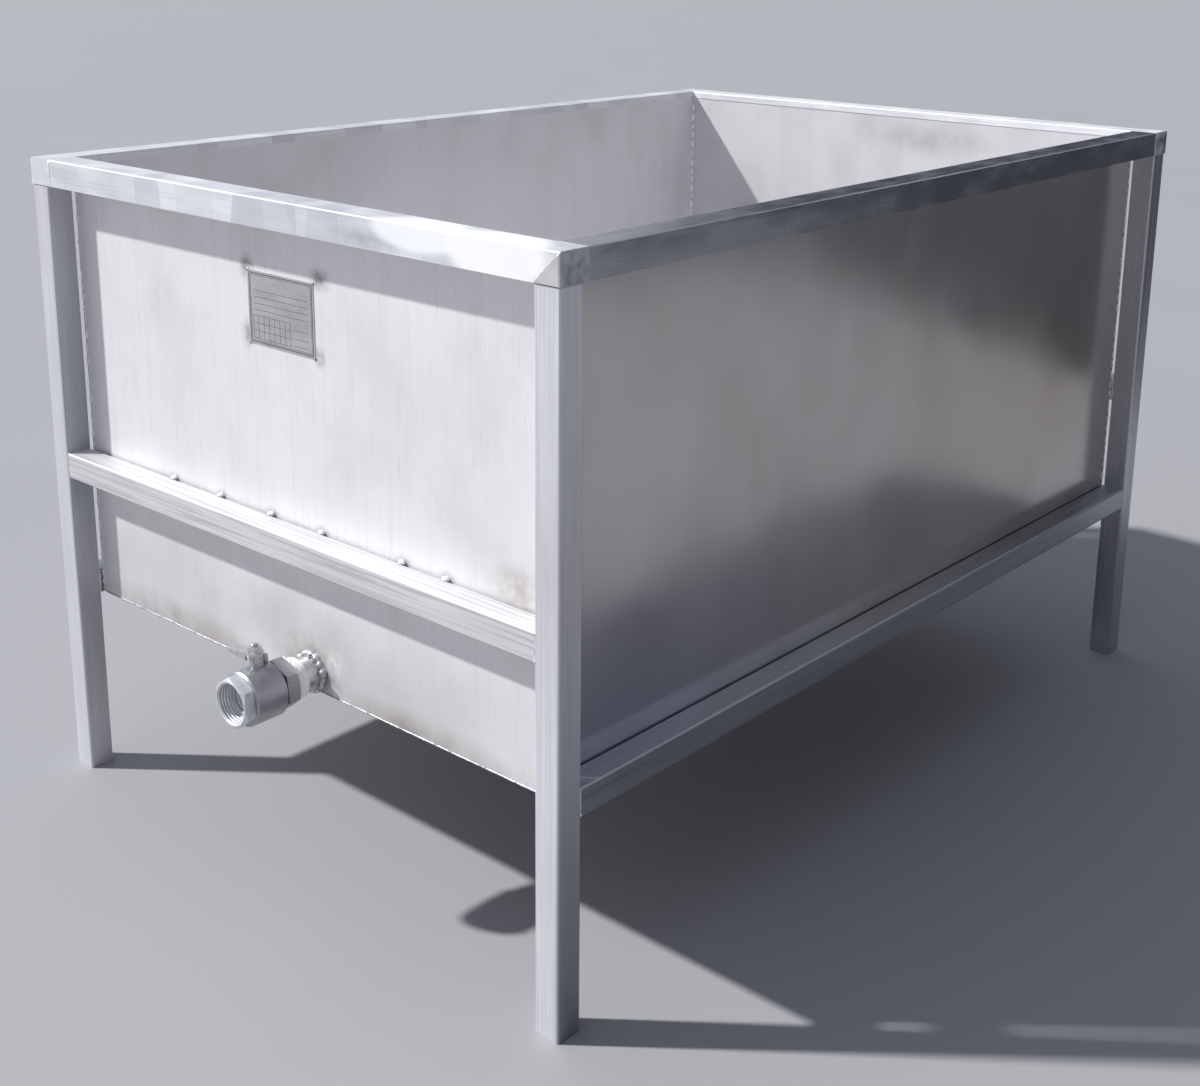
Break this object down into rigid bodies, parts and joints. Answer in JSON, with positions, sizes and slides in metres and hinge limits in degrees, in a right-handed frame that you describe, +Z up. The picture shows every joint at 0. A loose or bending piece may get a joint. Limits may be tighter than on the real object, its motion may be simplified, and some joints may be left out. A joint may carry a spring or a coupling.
{
  "type": "stainless steel vat",
  "caption": "Open rectangular stainless vat hung in a square-tube stand, with a folded rim and a front drain ball valve with a quarter-turn lever.",
  "frame": {"origin": "on the floor, at the bottom centre of the whole vat with its valve", "axes": "+X to the right seen from the valve end, +Y from the valve end to the back along the vat, +Z up"},
  "size_m": [1.0854, 1.6852, 1],
  "materials": {
    "stainless_sheet": "matt cold-rolled sheet",
    "stainless_tube": "lengthwise ground tube",
    "stainless_cast": "blasted investment casting",
    "stainless_bar": "turned and pressed",
    "weld_metal": "as welded",
    "ptfe": "waxy"
  },
  "bodies": {
    "vat": {"ball_seat_back": "ptfe", "ball_seat_front": "ptfe", "drain_pipe": "stainless_bar", "drain_weld": "weld_metal", "floor_hat_1": "stainless_sheet", "floor_hat_2": "stainless_sheet", "floor_hat_3": "stainless_sheet", "foot_back_left": "stainless_tube", "foot_back_right": "stainless_tube", "foot_front_left": "stainless_tube", "foot_front_right": "stainless_tube", "gland_nut": "stainless_bar", "leg_back_left": "stainless_tube", "leg_back_right": "stainless_tube", "leg_front_left": "stainless_tube", "leg_front_right": "stainless_tube", "nameplate": "stainless_sheet", "rail_back": "stainless_tube", "rail_front": "stainless_tube", "rail_left": "stainless_tube", "rail_right": "stainless_tube", "rail_tack_1": "weld_metal", "rail_tack_2": "weld_metal", "rail_tack_3": "weld_metal", "rail_tack_4": "weld_metal", "rail_tack_5": "weld_metal", "rail_tack_6": "weld_metal", "rim_cap_back": "stainless_sheet", "rim_cap_front": "stainless_sheet", "rim_cap_left": "stainless_sheet", "rim_cap_right": "stainless_sheet", "stem_packing": "ptfe", "tank_shell": "stainless_sheet", "tank_wall_back": "stainless_sheet", "tank_wall_front": "stainless_sheet", "thread_tape": "ptfe", "top_rail_back": "stainless_tube", "top_rail_front": "stainless_tube", "top_rail_left": "stainless_tube", "top_rail_right": "stainless_tube", "valve_body": "stainless_cast", "valve_end_cap": "stainless_cast"},
    "drain_lever": {"valve_lever": "stainless_bar", "valve_stem": "stainless_bar", "valve_ball": "stainless_bar", "lever_nut": "stainless_bar"}
  },
  "joints": [
    {"name": "drain_lever_turn", "type": "hinge", "parent": "vat", "child": "drain_lever", "pos_m": [0.028, -0.7926, 0.3265], "axis": [-0.1392, 0, 0.9903], "range_deg": [0, 90]}
  ]
}
